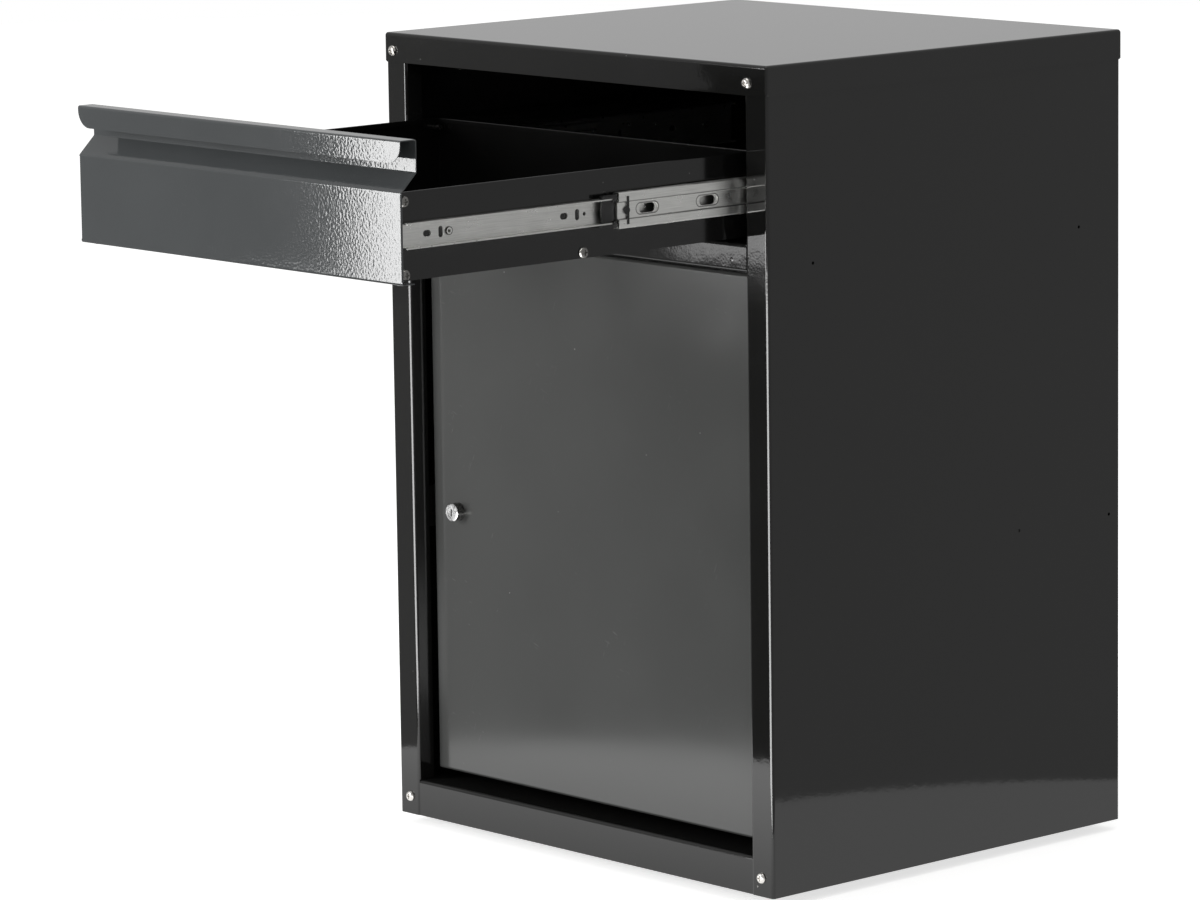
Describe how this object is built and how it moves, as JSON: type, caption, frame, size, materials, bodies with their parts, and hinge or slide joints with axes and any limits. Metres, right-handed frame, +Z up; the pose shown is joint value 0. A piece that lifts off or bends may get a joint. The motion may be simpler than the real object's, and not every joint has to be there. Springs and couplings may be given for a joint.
{
  "type": "tool chest side locker",
  "caption": "Sheet-steel side cabinet for a tool chest: an open ball-bearing drawer with a full-width finger pull over a locker with a hinged, keyed door, on low feet.",
  "frame": {"origin": "on the floor under the centre of the cabinet", "axes": "+Z up, front of the cabinet (drawer and door) towards -Y, +X to the right of someone facing the front"},
  "size_m": [0.5246, 0.8637, 0.77],
  "materials": {
    "body_paint": "gloss black powder coat with fine orange peel",
    "front_paint": "gloss charcoal powder coat with orange peel",
    "inner_paint": "satin black powder coat",
    "drawer_paint": "gloss black powder coat",
    "slide_zinc": "bright zinc plate with rolling marks",
    "slide_plastic": "black moulded nylon",
    "cage_steel": "zinc-plated strip",
    "ball_steel": "polished bearing steel, lightly greased",
    "foot_plastic": "black moulded plastic",
    "bush_nylon": "natural nylon",
    "lock_chrome": "polished chrome with fine turning marks on the face",
    "cam_zinc": "bright zinc plate",
    "pin_steel": "turned steel, zinc plated",
    "rivet_paint": "gloss black powder coat over the rivet head",
    "screw_nickel": "nickel-plated screw heads"
  },
  "bodies": {
    "cabinet": {"side_panel_left": "body_paint", "side_panel_right": "body_paint", "base_runner_left": "inner_paint", "base_runner_right": "inner_paint", "slide_bracket_left": "inner_paint", "slide_bracket_right": "inner_paint", "slide_outer_left": "slide_zinc", "slide_outer_right": "slide_zinc", "back_panel": "body_paint", "base_pan": "body_paint", "feet": "foot_plastic", "foot_screws": "screw_nickel", "lid": "body_paint", "lid_screws": "screw_nickel", "back_screws": "screw_nickel", "base_screws": "screw_nickel", "divider_rail": "body_paint", "divider_rivets": "rivet_paint", "hinge_pin_upper": "pin_steel", "hinge_pin_lower": "pin_steel", "lock_strike": "inner_paint", "slide_screws": "screw_nickel"},
    "drawer": {"drawer_side_left": "drawer_paint", "drawer_side_right": "drawer_paint", "slide_inner_left": "slide_zinc", "slide_inner_right": "slide_zinc", "drawer_back": "drawer_paint", "drawer_bottom": "drawer_paint", "drawer_front": "front_paint", "drawer_screws": "screw_nickel", "drawer_member_screws": "screw_nickel"},
    "door": {"door_panel": "front_paint", "door_stiffener": "inner_paint", "hinge_bushes": "bush_nylon", "lock_housing": "lock_chrome", "lock_nut": "lock_chrome"},
    "key_plug": {"lock_plug": "lock_chrome", "lock_cam": "cam_zinc", "cam_screw": "cam_zinc"},
    "middle_runner_left": {"slide_middle_left": "slide_zinc", "slide_clip_left": "slide_plastic"},
    "inner_rollers_left": {"inner_cage_left": "slide_plastic", "inner_balls_left": "ball_steel"},
    "outer_rollers_left": {"outer_cage_left": "cage_steel", "outer_balls_left": "ball_steel"},
    "middle_runner_right": {"slide_middle_right": "slide_zinc", "slide_clip_right": "slide_plastic"},
    "inner_rollers_right": {"inner_cage_right": "slide_plastic", "inner_balls_right": "ball_steel"},
    "outer_rollers_right": {"outer_cage_right": "cage_steel", "outer_balls_right": "ball_steel"}
  },
  "joints": [
    {"name": "drawer_slide", "type": "slide", "parent": "cabinet", "child": "drawer", "axis": [0, -1, 0], "range_m": [-0.4174, 0.006]},
    {"name": "middle_runner_left_slide", "type": "slide", "parent": "cabinet", "child": "middle_runner_left", "axis": [0, -1, 0], "range_m": [-0.174, 0.00251]},
    {"name": "inner_rollers_left_slide", "type": "slide", "parent": "cabinet", "child": "inner_rollers_left", "axis": [0, -1, 0], "range_m": [-0.2957, 0.00426]},
    {"name": "outer_rollers_left_slide", "type": "slide", "parent": "cabinet", "child": "outer_rollers_left", "axis": [0, -1, 0], "range_m": [-0.087, 0.00126]},
    {"name": "middle_runner_right_slide", "type": "slide", "parent": "cabinet", "child": "middle_runner_right", "axis": [0, -1, 0], "range_m": [-0.174, 0.00251]},
    {"name": "inner_rollers_right_slide", "type": "slide", "parent": "cabinet", "child": "inner_rollers_right", "axis": [0, -1, 0], "range_m": [-0.2957, 0.00426]},
    {"name": "outer_rollers_right_slide", "type": "slide", "parent": "cabinet", "child": "outer_rollers_right", "axis": [0, -1, 0], "range_m": [-0.087, 0.00126]},
    {"name": "door_hinge", "type": "hinge", "parent": "cabinet", "child": "door", "pos_m": [0.2145, -0.202, 0.3], "axis": [0, 0, 1], "range_deg": [0, 100]},
    {"name": "lock_turn", "type": "hinge", "parent": "door", "child": "key_plug", "pos_m": [-0.1902, -0.2, 0.312], "axis": [0, -1, 0], "range_deg": [0, 90]}
  ],
  "couplings": [
    {"joint": "middle_runner_left_slide", "follows": "drawer_slide", "ratio": 0.41687},
    {"joint": "inner_rollers_left_slide", "follows": "drawer_slide", "ratio": 0.70843},
    {"joint": "outer_rollers_left_slide", "follows": "drawer_slide", "ratio": 0.20843},
    {"joint": "middle_runner_right_slide", "follows": "drawer_slide", "ratio": 0.41687},
    {"joint": "inner_rollers_right_slide", "follows": "drawer_slide", "ratio": 0.70843},
    {"joint": "outer_rollers_right_slide", "follows": "drawer_slide", "ratio": 0.20843}
  ]
}
